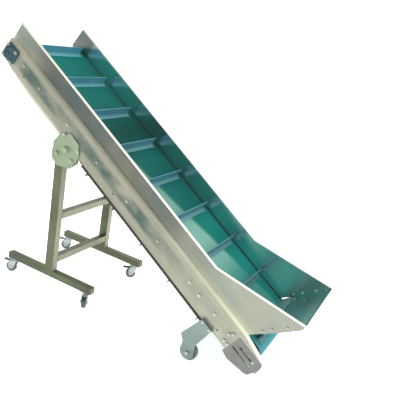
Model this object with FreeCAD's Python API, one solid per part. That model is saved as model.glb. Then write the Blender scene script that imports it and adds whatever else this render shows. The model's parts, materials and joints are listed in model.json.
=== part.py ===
"""Mobile inclined cleat-belt conveyor: a tilting belt trough with an infeed hopper, on a wheeled H-stand.

Units are millimetres.  Two frames are used while modelling:
  belt frame   u down the incline, y across the belt (0 at the near guard), n out of the belt (0 on its top)
  stand frame  x level towards the infeed, y across, z up, with the same zero point as the belt frame
Shapes in the belt frame are drawn with u along X and n along Z, then turned by TILT about Y.
"""
import FreeCAD, Part
import math
import os

V = FreeCAD.Vector

# ---- driving dimensions -------------------------------------------------------------------------
TILT = 34.0              # slope of the belt as it stands
TROUGH_W = 500.0         # between the inner faces of the two guards
GUARD_H = 110.0          # guard top above the belt
GUARD_START = -14.0      # the guards overhang the side frames at the discharge end
GUARD_T = 2.0
BEND_U = 1705.0          # where the guard tops flare up into the hopper
TIP_U, TIP_N = 2187.0, 297.0
FRAME_END_U = 2045.0     # the folded side frames stop here and the end caps take over
WEB_OUT = 34.0           # the side frame's web stands this far outside the guard
SHEET = 3.0              # side frame sheet
FRAME_TOP, FRAME_BOTTOM = 8.0, -122.0
RAIL_BOTTOM = -140.0
BELT_T = 3.0
BELT_EDGE = 10.0         # gap between a guard and the belt's edge
DRUM_R = 58.0            # inside of the belt round both pulleys
HEAD_U, TAIL_U = 50.0, 2131.0
AXIS_N = -BELT_T - DRUM_R
TAKE_UP = 25.0           # travel of the tail pulley towards the head
RETURN_N = -182.0        # outer face of the return strand, carried on the return rails
RETURN_U = (790.0, 1860.0)
CLEAT_COUNT = 18
CLEAT_FIRST_U = 87.8
CLEAT_H, CLEAT_T, CLEAT_FOOT = 50.0, 6.0, 28.0
CLEAT_INSET = 40.0
SHAFT_R = 12.5
RUN_FIT = 0.05           # radial clearance of a shaft in its bearing
GAP = 0.3                # clearance between faces that move past each other

PIVOT_U, PIVOT_N = 678.0, -165.0
FLOOR_Z = -1420.0
FOOT = 40.0              # square tube of the foot beams and cross bars
WALL = 2.5
FOOT_TOP = -1288.0
FOOT_X = (89.0, 737.0)
POST_X = (386.0, 446.0)  # 60 x 40 tube uprights
POST_Y = (-24.0, 16.0)
POST_TOP = -585.0
CASTER_X = (124.0, 696.0)
CASTER_R, CASTER_W = 32.5, 24.0
CASTER_TRAIL = 22.0
WHEEL_R, WHEEL_W = 50.0, 30.0
WHEEL_X, WHEEL_Y = 1425.0, -27.0
ORIGIN = V(959.5, 311.35, FLOOR_Z)   # middle of the footprint, on the floor

FAR = TROUGH_W           # mirror: y becomes FAR - y
PARTS = {}


# ---- small helpers ------------------------------------------------------------------------------
def box(x0, x1, y0, y1, z0, z1):
    return Part.makeBox(x1 - x0, y1 - y0, z1 - z0, V(x0, y0, z0))


def rod(radius, x, z, y0, y1):
    """Round bar along Y."""
    return Part.makeCylinder(radius, y1 - y0, V(x, y0, z), V(0, 1, 0))


def prism(outline, y0, y1):
    """Extrude an (x, z) outline along Y."""
    wire = Part.makePolygon([V(x, y0, z) for x, z in outline + outline[:1]])
    return Part.Face(wire).extrude(V(0, y1 - y0, 0))


def hexagon(x, z, flats, y0, y1):
    radius = flats / math.sqrt(3)
    corners = [math.radians(60 * i) for i in range(6)]
    return prism([(x + radius * math.cos(a), z + radius * math.sin(a)) for a in corners], y0, y1)


def fuse(*shapes):
    return shapes[0].multiFuse(list(shapes[1:])).removeSplitter()


def tube_x(x0, x1, y0, y1, z0, z1):
    return box(x0, x1, y0, y1, z0, z1).cut(box(x0, x1, y0 + WALL, y1 - WALL, z0 + WALL, z1 - WALL))


def tube_y(x0, x1, y0, y1, z0, z1):
    return box(x0, x1, y0, y1, z0, z1).cut(box(x0 + WALL, x1 - WALL, y0, y1, z0 + WALL, z1 - WALL))


def tube_z(x0, x1, y0, y1, z0, z1):
    return box(x0, x1, y0, y1, z0, z1).cut(box(x0 + WALL, x1 - WALL, y0 + WALL, y1 - WALL, z0, z1))


def mirrored(shape):
    """The same part on the far side of the trough."""
    return shape.mirror(V(0, FAR / 2, 0), V(0, 1, 0))


def tilted(shape):
    """Turn a shape from the belt frame into the stand frame."""
    out = shape.copy()
    out.rotate(V(0, 0, 0), V(0, 1, 0), TILT)
    return out


def to_stand(u, n):
    """Stand-frame x and z of a belt-frame point."""
    c, s = math.cos(math.radians(TILT)), math.sin(math.radians(TILT))
    return u * c + n * s, n * c - u * s


def keep(name, *shapes):
    solids = []
    for shape in shapes:
        solids += shape.Solids
    body = solids[0] if len(solids) == 1 else Part.makeCompound(solids)
    body.translate(-ORIGIN)
    PARTS[name] = body


def keep_belt(name, *shapes):
    keep(name, *[tilted(s) for s in shapes])


def keep_pair(name, shape, near=keep_belt):
    near(name + "_near", shape)
    near(name + "_far", mirrored(shape))


def hex_bolt(x, z, y_face, grip, size, side=-1):
    """Bolt along Y: washer and head outside y_face, shank and nut on the other side."""
    head, washer = 0.64 * size, 0.2 * size

    def span(a, b):
        return (min(a, b), max(a, b))
    a = y_face + side * washer
    shapes = [rod(1.1 * size, x, z, *span(y_face, a)),
              hexagon(x, z, 1.7 * size, *span(a, a + side * head)),
              rod(size / 2, x, z, *span(y_face, y_face - side * (grip + 0.9 * size))),
              hexagon(x, z, 1.7 * size, *span(y_face - side * grip, y_face - side * (grip + 0.8 * size)))]
    return fuse(*shapes)


# ---- trough: side frames, guards, hopper, bed ---------------------------------------------------
CROSS_U = (325.0, 595.0, 865.0, 1135.0, 1405.0, 1675.0, 1880.0)
CROSS_N = -56.0
CROSS_SIZE = 30.0
CAP_BOLTS = [(2012.0, -110.0), (2035.0, -110.0), (2003.0, -62.0), (2015.0, -42.0)]
TIE_BOLTS = [(168.0, -42.0), (1757.0, -61.0)]
SPARE_HOLES = [(201.0, -91.0), (1048.0, -100.0), (1949.0, -105.0)]
PLATE_BOLTS = [(PIVOT_U - 62.0, PIVOT_N + 57.0), (PIVOT_U + 62.0, PIVOT_N + 57.0)]
BRACKET_BOLTS = [(1873.0, -132.0), (1925.0, -132.0)]
BOLT_HOLE = 5.5
NOSE = [(FRAME_END_U + 15, FRAME_TOP), (2216.0, -19.0), (2216.0, -22.5)]   # cover over the end cap


def through_holes(points, radius, y0, y1):
    return [rod(radius, u, n, y0, y1) for u, n in points]


def side_frame():
    """Folded channel, open towards the belt, with a cut corner at the discharge end."""
    web = prism([(0, FRAME_TOP), (-2, -100), (85, FRAME_BOTTOM), (FRAME_END_U, FRAME_BOTTOM),
                 (FRAME_END_U, FRAME_TOP)], -WEB_OUT, -WEB_OUT + SHEET)
    top = box(0, FRAME_END_U + 15, -WEB_OUT, -GUARD_T, FRAME_TOP - SHEET, FRAME_TOP)
    bottom = box(85, FRAME_END_U, -WEB_OUT, -WEB_OUT + 26, FRAME_BOTTOM, FRAME_BOTTOM + SHEET)
    nose = prism([(FRAME_END_U, FRAME_TOP), NOSE[0], NOSE[1], NOSE[2], (FRAME_END_U, NOSE[2][1])],
                 -WEB_OUT, -WEB_OUT + SHEET)
    nose_top = prism([NOSE[0], NOSE[1], NOSE[2], (NOSE[0][0], FRAME_TOP - SHEET)], -WEB_OUT, -GUARD_T - 2)
    shape = fuse(web, top, bottom, nose, nose_top)
    points = [(u, CROSS_N) for u in CROSS_U] + CAP_BOLTS + TIE_BOLTS + SPARE_HOLES + PLATE_BOLTS
    holes = through_holes(points + bearing_bolt_points(), BOLT_HOLE, -WEB_OUT - 1, -WEB_OUT + 5)
    holes.append(rod(22.0, HEAD_U, AXIS_N, -WEB_OUT - 1, 0))
    return shape.cut(Part.makeCompound(holes))


def bottom_rail():
    """Angle bolted under the channel: it guards the edge of the return strand."""
    low = FRAME_BOTTOM - SHEET
    foot = box(90, FRAME_END_U, -WEB_OUT, -WEB_OUT + 26, low, FRAME_BOTTOM)
    leg = prism([(90, low), (FRAME_END_U, low), (FRAME_END_U, RAIL_BOTTOM), (270, RAIL_BOTTOM)],
                -WEB_OUT, -WEB_OUT + SHEET)
    holes = through_holes(BRACKET_BOLTS, BOLT_HOLE, -WEB_OUT - 1, -WEB_OUT + 5)
    return fuse(foot, leg).cut(Part.makeCompound(holes))


RETURN_LIP = (RETURN_N - 4.0, RETURN_N)
RETURN_WALL = (3.0, 8.0)


def return_rail():
    """Black plastic J-strip hung under the frame: the return strand's edge slides on its lip."""
    top = FRAME_BOTTOM - SHEET
    flange = box(*RETURN_U, -WEB_OUT + SHEET, RETURN_WALL[1], top - 5, top)
    wall = box(*RETURN_U, *RETURN_WALL, RETURN_LIP[0], top)
    lip = box(*RETURN_U, RETURN_WALL[0], CLEAT_INSET - 4, *RETURN_LIP)
    return fuse(flange, wall, lip)


GUARD_FOOT = -25.0
FLARE = [(2190.0, 262.0), (2140.0, 154.0), (2062.0, 8.0)]   # lower edge of the flare, tip to belt
LIP_W = 22.0


def hem_outline():
    """Guard top line thickened by one sheet, from the discharge end to the flare's tip."""
    top = [(GUARD_START, GUARD_H), (BEND_U, GUARD_H), (TIP_U, TIP_N)]
    slope = math.atan2(TIP_N - GUARD_H, TIP_U - BEND_U)
    under = [(TIP_U + GUARD_T * math.sin(slope), TIP_N - GUARD_T * math.cos(slope)),
             (BEND_U + GUARD_T * math.tan(slope / 2), GUARD_H - GUARD_T), (GUARD_START, GUARD_H - GUARD_T)]
    return top + under


def guard():
    """Side guard: one sheet with its top edge folded outwards, flaring up beside the hopper."""
    sheet = prism([(GUARD_START, GUARD_FOOT), (GUARD_START, GUARD_H), (BEND_U, GUARD_H), (TIP_U, TIP_N)]
                  + FLARE + [(FLARE[-1][0], GUARD_FOOT)], -GUARD_T, 0)
    hem = prism(hem_outline(), -LIP_W, 0)
    shape = fuse(sheet, hem)
    holes = [rod(4.5, u, n, -GUARD_T - 1, 1) for u, n in HOPPER_BOLTS]
    return shape.cut(Part.makeCompound(holes))


HOPPER_BOLTS = [(2086.0, 84.0), (2108.0, 136.0), (2143.0, 210.0)]
HOPPER_FOOT = (2090.3, 65.0)


def hopper_plate():
    """Sloping end plate between the flares, with side tabs and a stiffening lip."""
    inner = [(2187.0, 262.5), (2137.3, 154.0), HOPPER_FOOT]
    outline = [(2092.0, 64.0), (2139.0, 153.0), (2189.0, 262.0), (2186.0, 295.0), (2184.0, 295.0)] + inner
    sheet = prism(outline, 0, TROUGH_W)
    tab = inner + [(u - 26.0, n + 4.0) for u, n in reversed(inner)]
    shape = fuse(sheet, prism(tab, 0, GUARD_T), prism(tab, TROUGH_W - GUARD_T, TROUGH_W))
    holes = [rod(4.5, u, n, -1, TROUGH_W + 1) for u, n in HOPPER_BOLTS]
    return shape.cut(Part.makeCompound(holes))


def hopper_skirt():
    """Rubber strip that closes the gap between the end plate and the belt."""
    outline = [(2100.3, 84.0), HOPPER_FOOT, (2070.0, 6.0), (2067.2, 7.0), (2087.4, 66.0), (2097.6, 85.4)]
    return prism(outline, 12, TROUGH_W - 12)


def hopper_bolts():
    """Dome-headed bolts through the guards and the end plate's tabs."""
    shapes = []
    for u, n in HOPPER_BOLTS:
        dome = Part.makeSphere(9, V(u, 2, n)).common(box(u - 10, u + 10, 2, 7, n - 10, n + 10))
        near = fuse(rod(4, u, n, -11, 2), dome, hexagon(u, n, 13, -GUARD_T - 6.5, -GUARD_T))
        shapes += [near, mirrored(near)]
    return shapes


def slider_bed():
    """Sheet the belt slides on, folded down along both edges."""
    u0, u1 = HEAD_U + 24, TAIL_U - TAKE_UP - 24
    deck = box(u0, u1, 0, TROUGH_W, -BELT_T - 3, -BELT_T)
    side = box(u0, u1, 0, 3, CROSS_N + CROSS_SIZE / 2, -BELT_T)
    return fuse(deck, side, mirrored(side))


def cross_members():
    """Tubes that tie the two side frames together under the bed."""
    half = CROSS_SIZE / 2
    return [tube_y(u - half, u + half, -WEB_OUT + SHEET, FAR + WEB_OUT - SHEET, CROSS_N - half, CROSS_N + half)
            for u in CROSS_U]


# ---- belt and cleats ----------------------------------------------------------------------------
def leave_angle(pulley_u, bend_u, radius, low):
    """Where the return strand touches a pulley, as an angle turned downhill from the pulley's top."""
    toward = math.atan2(bend_u - pulley_u, low - AXIS_N) % (2 * math.pi)
    spread = math.acos(radius / math.hypot(bend_u - pulley_u, low - AXIS_N))
    return toward + math.copysign(spread, bend_u - pulley_u)


def on_pulley(pulley_u, radius, angle):
    return pulley_u + radius * math.sin(angle), AXIS_N + radius * math.cos(angle)


def belt_path(offset):
    """Closed belt line, offset outwards from its inner face: wire in the belt frame at y = 0."""
    r = DRUM_R + offset
    low = RETURN_N + BELT_T - offset
    head = on_pulley(HEAD_U, r, leave_angle(HEAD_U, RETURN_U[0], r, low))
    tail = on_pulley(TAIL_U, r, leave_angle(TAIL_U, RETURN_U[1], r, low))
    arcs = [Part.Arc(V(head[0], 0, head[1]), V(HEAD_U - r, 0, AXIS_N), V(HEAD_U, 0, AXIS_N + r)),
            Part.Arc(V(TAIL_U, 0, AXIS_N + r), V(TAIL_U + r, 0, AXIS_N), V(tail[0], 0, tail[1]))]
    corners = [V(tail[0], 0, tail[1]), V(RETURN_U[1], 0, low), V(RETURN_U[0], 0, low), V(head[0], 0, head[1])]
    edges = [arcs[0].toShape(), Part.makeLine(V(HEAD_U, 0, AXIS_N + r), V(TAIL_U, 0, AXIS_N + r)),
             arcs[1].toShape()]
    edges += [Part.makeLine(a, b) for a, b in zip(corners, corners[1:])]
    return Part.Wire(edges)


def belt():
    width = TROUGH_W - 2 * BELT_EDGE
    outer = Part.Face(belt_path(BELT_T)).extrude(V(0, width, 0))
    inner = Part.Face(belt_path(0)).extrude(V(0, width, 0))
    ring = outer.cut(inner)
    ring.translate(V(0, BELT_EDGE, 0))
    return ring


def belt_stretches():
    """Outer face of the belt as straight and round stretches: (length, place(distance) -> u, n, turn)."""
    r = DRUM_R + BELT_T
    head_leave = leave_angle(HEAD_U, RETURN_U[0], r, RETURN_N)
    tail_leave = leave_angle(TAIL_U, RETURN_U[1], r, RETURN_N)

    def straight(a, b):
        length = math.hypot(b[0] - a[0], b[1] - a[1])
        turn = math.degrees(math.atan2(a[1] - b[1], b[0] - a[0]))
        return length, lambda d: (a[0] + (b[0] - a[0]) * d / length, a[1] + (b[1] - a[1]) * d / length, turn)

    def around(u, start, end):
        return (end - start) * r, lambda d: (*on_pulley(u, r, start + d / r), math.degrees(start + d / r))
    tail_bend, head_bend = (RETURN_U[1], RETURN_N), (RETURN_U[0], RETURN_N)
    return [straight((HEAD_U, 0), (TAIL_U, 0)), around(TAIL_U, 0, tail_leave),
            straight(on_pulley(TAIL_U, r, tail_leave), tail_bend), straight(tail_bend, head_bend),
            straight(head_bend, on_pulley(HEAD_U, r, head_leave)), around(HEAD_U, head_leave, 2 * math.pi)]


def cleat():
    """One welded cleat: a blade with rounded top corners, and its foot on the downhill side."""
    y0, y1 = CLEAT_INSET, TROUGH_W - CLEAT_INSET
    blade = box(-CLEAT_T / 2, CLEAT_T / 2, y0, y1, 0, CLEAT_H)
    along_top = [e for e in blade.Edges if abs(e.BoundBox.ZMin - CLEAT_H) < 0.01 and e.BoundBox.YLength > 50]
    blade = blade.makeFillet(2.5, along_top)
    half = CLEAT_T / 2
    foot = prism([(-half - 6, 0), (-half, 4), (half, 4), (half + CLEAT_FOOT, 2.5), (half + CLEAT_FOOT, 0)], y0, y1)
    return fuse(blade, foot)


def cleats():
    stretches = belt_stretches()
    pitch = sum(length for length, place in stretches) / CLEAT_COUNT
    shapes = []
    for i in range(CLEAT_COUNT):
        distance = CLEAT_FIRST_U - HEAD_U + i * pitch
        for length, place in stretches:
            if distance <= length:
                break
            distance -= length
        u, n, turn = place(distance)
        shape = cleat()
        shape.rotate(V(0, 0, 0), V(0, 1, 0), turn)
        shape.translate(V(u, 0, n))
        shapes.append(shape)
    return shapes


# ---- head pulley, bearings and drive ------------------------------------------------------------
BEARING = 95.0
BEARING_T = 30.0
BOLT_SQUARE = 68.0


def bearing_bolt_points():
    h = BOLT_SQUARE / 2
    return [(HEAD_U + a * h, AXIS_N + b * h) for a in (-1, 1) for b in (-1, 1)]


def flange_bearing():
    """Square four-bolt flange bearing with a round hub."""
    h, c = BEARING / 2, 14.0
    outline = [(-h + c, -h), (h - c, -h), (h, -h + c), (h, h - c), (h - c, h), (-h + c, h), (-h, h - c), (-h, -h + c)]
    y1 = -WEB_OUT
    plate = prism([(HEAD_U + a, AXIS_N + b) for a, b in outline], y1 - 12, y1)
    hub = Part.makeCone(36, 31, BEARING_T - 12, V(HEAD_U, y1 - 12, AXIS_N), V(0, -1, 0))
    shape = fuse(plate, hub)
    holes = [rod(SHAFT_R + RUN_FIT, HEAD_U, AXIS_N, y1 - BEARING_T - 1, y1 + 1)]
    holes += [rod(5.5, u, n, y1 - BEARING_T - 1, y1 + 1) for u, n in bearing_bolt_points()]
    return shape.cut(Part.makeCompound(holes))


def drum(u):
    """Steel pulley: shell and two end discs as one weldment."""
    y0, y1 = BELT_EDGE + 2, TROUGH_W - BELT_EDGE - 2
    shell = rod(DRUM_R - GAP, u, AXIS_N, y0, y1).cut(rod(DRUM_R - 6, u, AXIS_N, y0, y1))
    discs = [rod(DRUM_R - 5, u, AXIS_N, y, y + 6) for y in (y0 + 4, y1 - 10)]
    return fuse(shell, *discs).cut(rod(SHAFT_R, u, AXIS_N, 0, TROUGH_W))


GEARBOX = 104.0
GEARBOX_Y = (FAR + WEB_OUT + BEARING_T + 4, FAR + WEB_OUT + BEARING_T + 80)
MOTOR_R = 55.0
MOTOR_Y = (GEARBOX_Y[0] + GEARBOX_Y[1]) / 2


def motor_disc(u0, u1, radius):
    return Part.makeCylinder(radius, u1 - u0, V(u0, MOTOR_Y, AXIS_N), V(1, 0, 0))


def gearbox():
    """Worm gearbox with a hollow output bore and the motor flange on its downhill face."""
    h = GEARBOX / 2
    body = box(HEAD_U - h, HEAD_U + h, GEARBOX_Y[0] + 8, GEARBOX_Y[1] - 8, AXIS_N - h, AXIS_N + h)
    body = body.makeFillet(12, [e for e in body.Edges if e.BoundBox.YLength > 20])
    hub = rod(34, HEAD_U, AXIS_N, *GEARBOX_Y)
    shape = fuse(body, hub, motor_disc(HEAD_U + h, HEAD_U + h + 12, MOTOR_R + 5))
    return shape.cut(rod(SHAFT_R + RUN_FIT, HEAD_U, AXIS_N, GEARBOX_Y[0] - 1, GEARBOX_Y[1] + 1))


MOTOR_U = (HEAD_U + GEARBOX / 2 + 12, HEAD_U + GEARBOX / 2 + 212)


def motor():
    """Flanged motor with cooling ribs and a fan cowl."""
    u0, u1 = MOTOR_U
    body = motor_disc(u0, u1 - 40, MOTOR_R - 6)
    ribs = []
    for i in range(24):
        angle = math.radians(15 * i)
        rib = box(u0 + 12, u1 - 45, MOTOR_Y - 1.5, MOTOR_Y + 1.5, AXIS_N + MOTOR_R - 12, AXIS_N + MOTOR_R)
        rib.rotate(V(0, MOTOR_Y, AXIS_N), V(1, 0, 0), math.degrees(angle))
        ribs.append(rib)
    cowl = motor_disc(u1 - 44, u1, MOTOR_R)
    return fuse(body, motor_disc(u0, u0 + 10, MOTOR_R + 5), cowl, *ribs)


def terminal_box():
    """Terminal box on the motor's outer side, with an empty cable gland on its downhill end."""
    u0 = MOTOR_U[0] + 40
    y0 = MOTOR_Y + MOTOR_R
    case = box(u0, u0 + 80, y0, y0 + 38, AXIS_N - 36, AXIS_N + 36)
    case = case.makeFillet(5, [e for e in case.Edges if e.BoundBox.YLength > 20])
    gland = Part.makeCylinder(10, 18, V(u0 + 80, y0 + 19, AXIS_N), V(1, 0, 0))
    nut = Part.makeCylinder(13, 6, V(u0 + 80, y0 + 19, AXIS_N), V(1, 0, 0))
    inlet = Part.makeCylinder(5, 16, V(u0 + 84, y0 + 19, AXIS_N), V(1, 0, 0))
    return fuse(case, gland, nut).cut(inlet)


def torque_arm():
    """Bracket that stops the gearbox turning: a pad under it, a shelf clear of the motor, a foot on the web."""
    y0 = FAR + WEB_OUT
    under = AXIS_N - GEARBOX / 2
    top = AXIS_N - MOTOR_R - 7
    pad = box(HEAD_U - 20, HEAD_U + 40, y0 + 20, GEARBOX_Y[1] - 20, top - 8, under)
    shelf = box(HEAD_U - 20, 265, y0 + 6, GEARBOX_Y[1] - 20, top - 8, top)
    foot = box(215, 265, y0, y0 + 6, top - 8, -45)
    return fuse(foot, shelf, pad)


# ---- tail pulley and take-up --------------------------------------------------------------------
CAP = [(FRAME_END_U, -25.0), (FRAME_END_U, -158.0), (2088.0, -169.0), (2196.0, -142.0), (2215.0, -130.0),
       (2231.0, -57.0), (2215.0, -24.0)]
CAP_POCKET = [(FRAME_END_U + 4, -30.0), (FRAME_END_U + 4, -112.0), (2211.0, -112.0), (2211.0, -30.0)]
CAP_LOWER = [(FRAME_END_U + 4, -117.0), (FRAME_END_U + 4, -154.0), (2088.0, -164.5), (2194.0, -138.0),
             (2208.0, -128.0), (2208.0, -117.0)]
CAP_Y = (-WEB_OUT, -4.0)
SCREW_N = -92.0
SCREW_Y = -17.0
TAIL_SHAFT_END = CAP_Y[0] + SHEET + 2.0


def slot(u0, u1, n, width, y0, y1):
    r = width / 2
    return fuse(box(u0 + r, u1 - r, y0, y1, n - r, n + r), rod(r, u0 + r, n, y0, y1), rod(r, u1 - r, n, y0, y1))


def end_cap():
    """Take-up housing: a pocket for the sliding block, two slots in its face and a tongue in the frame."""
    body = prism(CAP, *CAP_Y)
    for pocket in (CAP_POCKET, CAP_LOWER):
        body = body.cut(prism(pocket, CAP_Y[0] + SHEET, CAP_Y[1] + 1))
    tongue = box(1990, FRAME_END_U + 4, CAP_Y[0] + SHEET, CAP_Y[0] + SHEET + 5, -117, -30)
    body = fuse(body, tongue)
    sight_slot = slot(2083, 2190, AXIS_N, 8, CAP_Y[0] - 1, CAP_Y[0] + 4)
    screw_slot = slot(2059, 2195, SCREW_N, 7, CAP_Y[0] - 1, CAP_Y[0] + 4)
    screw_hole = Part.makeCylinder(5.5, 40, V(2205, SCREW_Y, SCREW_N), V(1, 0, 0))
    bolt_holes = through_holes(CAP_BOLTS, BOLT_HOLE, CAP_Y[0] - 1, 0)
    return body.cut(Part.makeCompound([sight_slot, screw_slot, screw_hole] + bolt_holes))


def take_up_block():
    """Bearing block that slides along the end cap's pocket."""
    body = box(TAIL_U - 24, TAIL_U + 24, CAP_Y[0] + 3.5, -5, SCREW_N - 14, AXIS_N + 28)
    bore = rod(SHAFT_R + RUN_FIT, TAIL_U, AXIS_N, -40, 1)
    nut_hole = Part.makeCylinder(5.5, 80, V(TAIL_U - 40, SCREW_Y, SCREW_N), V(1, 0, 0))
    return body.cut(Part.makeCompound([bore, nut_hole]))


def take_up_screw():
    """Tension screw along the slot, with its head outside the end cap."""
    screw = Part.makeCylinder(5, 178, V(2056, SCREW_Y, SCREW_N), V(1, 0, 0))
    head = Part.makeCylinder(9, 9, V(2227, SCREW_Y, SCREW_N), V(1, 0, 0))
    collar = Part.makeCylinder(8, 4, V(2207, SCREW_Y, SCREW_N), V(1, 0, 0))
    return fuse(screw, head, collar)


# ---- pivot and infeed wheels --------------------------------------------------------------------
PIVOT_R = 98.0
PIVOT_PLATE_Y = (-WEB_OUT - 6.0, -WEB_OUT)
STAND_PLATE_Y = (POST_Y[0] - 6.0, POST_Y[0])
STAND_PLATE = [(-107, -73), (-66, -107), (24, -107), (84, -62), (82, -42), (70, -22), (28, 4), (-4, 24),
               (-60, 44), (-98, 12), (-107, -30)]
PIVOT_BOLT, CLAMP_BOLT = 20.0, 12.0
CLAMP_R = 70.0
CLAMP_ANGLES = (-150.0, -50.0)
TILT_TRAVEL = 10.0


def around_pivot(radius, angle):
    """Stand-frame point at an angle about the pivot, counted from level towards up."""
    x, z = to_stand(PIVOT_U, PIVOT_N)
    return x + radius * math.cos(math.radians(angle)), z + radius * math.sin(math.radians(angle))


def pivot_plate():
    """Octagonal plate bolted on the outside of the side frame; it carries the pivot and clamp bolts."""
    plate = prism([around_pivot(PIVOT_R, 31 + 45 * i) for i in range(8)], *PIVOT_PLATE_Y)
    holes = [rod(PIVOT_BOLT / 2, *around_pivot(0, 0), -50, -30)]
    holes += [rod(CLAMP_BOLT / 2, *around_pivot(CLAMP_R, a), -50, -30) for a in CLAMP_ANGLES]
    holes += [rod(BOLT_HOLE, *to_stand(u, n), -50, -30) for u, n in PLATE_BOLTS]
    return plate.cut(Part.makeCompound(holes))


def stand_plate():
    """Plate welded on top of an upright: the pivot's bearing hole and two curved clamp slots."""
    px, pz = around_pivot(0, 0)
    plate = prism([(px + x, pz + z) for x, z in STAND_PLATE], *STAND_PLATE_Y)
    holes = [rod(PIVOT_BOLT / 2 + RUN_FIT, px, pz, -40, 0)]
    for base in CLAMP_ANGLES:
        for step in range(-1, int(TILT_TRAVEL) + 2):
            holes.append(rod(CLAMP_BOLT / 2 + 0.5, *around_pivot(CLAMP_R, base + step), -40, 0))
    return plate.cut(fuse(*holes))


def pivot_bolts():
    """Pivot bolt with its spacer, and two clamp bolts, on each side; all turn with the trough."""
    face, inner = PIVOT_PLATE_Y[0], STAND_PLATE_Y[1] + GAP
    places = [(around_pivot(0, 0), PIVOT_BOLT)] + [(around_pivot(CLAMP_R, a), CLAMP_BOLT) for a in CLAMP_ANGLES]
    shapes = []
    for (x, z), size in places:
        bolt = hex_bolt(x, z, face, inner - face, size)
        spacer = rod(0.9 * size, x, z, PIVOT_PLATE_Y[1], STAND_PLATE_Y[0] - GAP)
        bolt = fuse(bolt, spacer)
        shapes += [bolt, mirrored(bolt)]
    return shapes


BRACKET_Y = (-WEB_OUT - 20.0, -WEB_OUT - 15.0)
AXLE_Z = FLOOR_Z + WHEEL_R
FORK_LOW = AXLE_Z - 16.0
CHEEK_R = 38.0


def wheel_bracket():
    """Box-folded plate under the frame; its lower end and a bent strap form the infeed wheel's fork."""
    y0, y1 = BRACKET_Y
    knee_left, knee_right = (1371.0, -1270.0), (1478.0, -1284.0)
    top = [to_stand(1859, -126), to_stand(1938, -126)]
    r = CHEEK_R
    plate = prism([top[0], top[1], knee_right, (WHEEL_X + r, -1312), (WHEEL_X + r, AXLE_Z),
                   (WHEEL_X - r, AXLE_Z), (WHEEL_X - r, -1306), (WHEEL_X - r - 6, -1296), knee_left], y0, y1)
    plate = fuse(plate, rod(r, WHEEL_X, AXLE_Z, y0, y1))
    left, right = [tilted(box(u, u + 4, y1, -WEB_OUT, RAIL_BOTTOM, -126)) for u in (1859, 1934)]
    sides = tilted(box(1859, 1938, y1, -WEB_OUT, -130, -126))
    inner_y = 2 * WHEEL_Y - y1 - 5
    strap = box(WHEEL_X - 20, WHEEL_X + 20, inner_y, inner_y + 5, FORK_LOW, -1306)
    strap = fuse(strap, rod(20, WHEEL_X, FORK_LOW, inner_y, inner_y + 5))
    seat = box(WHEEL_X - 20, WHEEL_X + 20, y1, y1 + 5, -1306, -1240)
    middle, radius = (y1 + inner_y + 5) / 2, (inner_y + 5 - y1) / 2
    arch = Part.makeCylinder(radius, 40, V(WHEEL_X - 20, middle, -1306), V(1, 0, 0))
    arch = arch.cut(Part.makeCylinder(radius - 5, 40, V(WHEEL_X - 20, middle, -1306), V(1, 0, 0)))
    arch = arch.common(box(WHEEL_X - 20, WHEEL_X + 20, y1 - 1, inner_y + 6, -1306, -1250))
    shape = fuse(plate, left, right, sides, strap, seat, arch)
    holes = [rod(6, WHEEL_X, AXLE_Z, -80, 60)]
    holes += [rod(BOLT_HOLE, *to_stand(u, n), -80, -30) for u, n in BRACKET_BOLTS]
    return shape.cut(Part.makeCompound(holes))


def infeed_wheel():
    """Solid wheel with a rounded tread and a recessed hub."""
    z = AXLE_Z
    y0, y1 = WHEEL_Y - WHEEL_W / 2, WHEEL_Y + WHEEL_W / 2
    tread = rod(WHEEL_R, WHEEL_X, z, y0, y1)
    rims = [e for e in tread.Edges if abs(e.Length - 2 * math.pi * WHEEL_R) < 0.1]
    tread = tread.makeFillet(4, rims)
    pocket = [rod(33, WHEEL_X, z, a, b).cut(rod(14, WHEEL_X, z, a, b)) for a, b in ((y0, y0 + 7), (y1 - 7, y1))]
    return tread.cut(Part.makeCompound(pocket)).cut(rod(6 + RUN_FIT, WHEEL_X, z, -80, 60))


def infeed_axle():
    """Axle bolt with spacers either side of the wheel."""
    y0, y1 = BRACKET_Y[0], 2 * WHEEL_Y - BRACKET_Y[1]
    half = WHEEL_W / 2
    return fuse(rod(6, WHEEL_X, AXLE_Z, y0 - 3, y1 + 12), hexagon(WHEEL_X, AXLE_Z, 19, y0 - 7.5, y0),
                hexagon(WHEEL_X, AXLE_Z, 19, y1, y1 + 10),
                rod(9, WHEEL_X, AXLE_Z, BRACKET_Y[1], WHEEL_Y - half - GAP),
                rod(9, WHEEL_X, AXLE_Z, WHEEL_Y + half + GAP, y1 - 5))


def frame_bolts():
    """Hexagon bolts along the webs: cross members, ties, bearings and infeed brackets."""
    shapes = []
    for u in CROSS_U:
        shapes.append(hex_bolt(u, CROSS_N, -WEB_OUT, SHEET, 8.0))
    shapes += [hex_bolt(u, n, -WEB_OUT, SHEET, 10.0) for u, n in TIE_BOLTS]
    shapes += [hex_bolt(u, n, -WEB_OUT, SHEET + 5, 10.0) for u, n in CAP_BOLTS]
    shapes += [hex_bolt(u, n, -WEB_OUT - 6, SHEET + 6, 10.0) for u, n in PLATE_BOLTS]
    shapes += [hex_bolt(u, n, BRACKET_Y[0], SHEET + 20, 8.0) for u, n in BRACKET_BOLTS]
    shapes += [hex_bolt(u, n, -WEB_OUT - 12, 12 + SHEET, 10.0) for u, n in bearing_bolt_points()]
    return shapes + [mirrored(s) for s in shapes]


# ---- stand --------------------------------------------------------------------------------------
def foot_beam():
    return tube_x(*FOOT_X, *POST_Y, FOOT_TOP - FOOT, FOOT_TOP)


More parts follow.
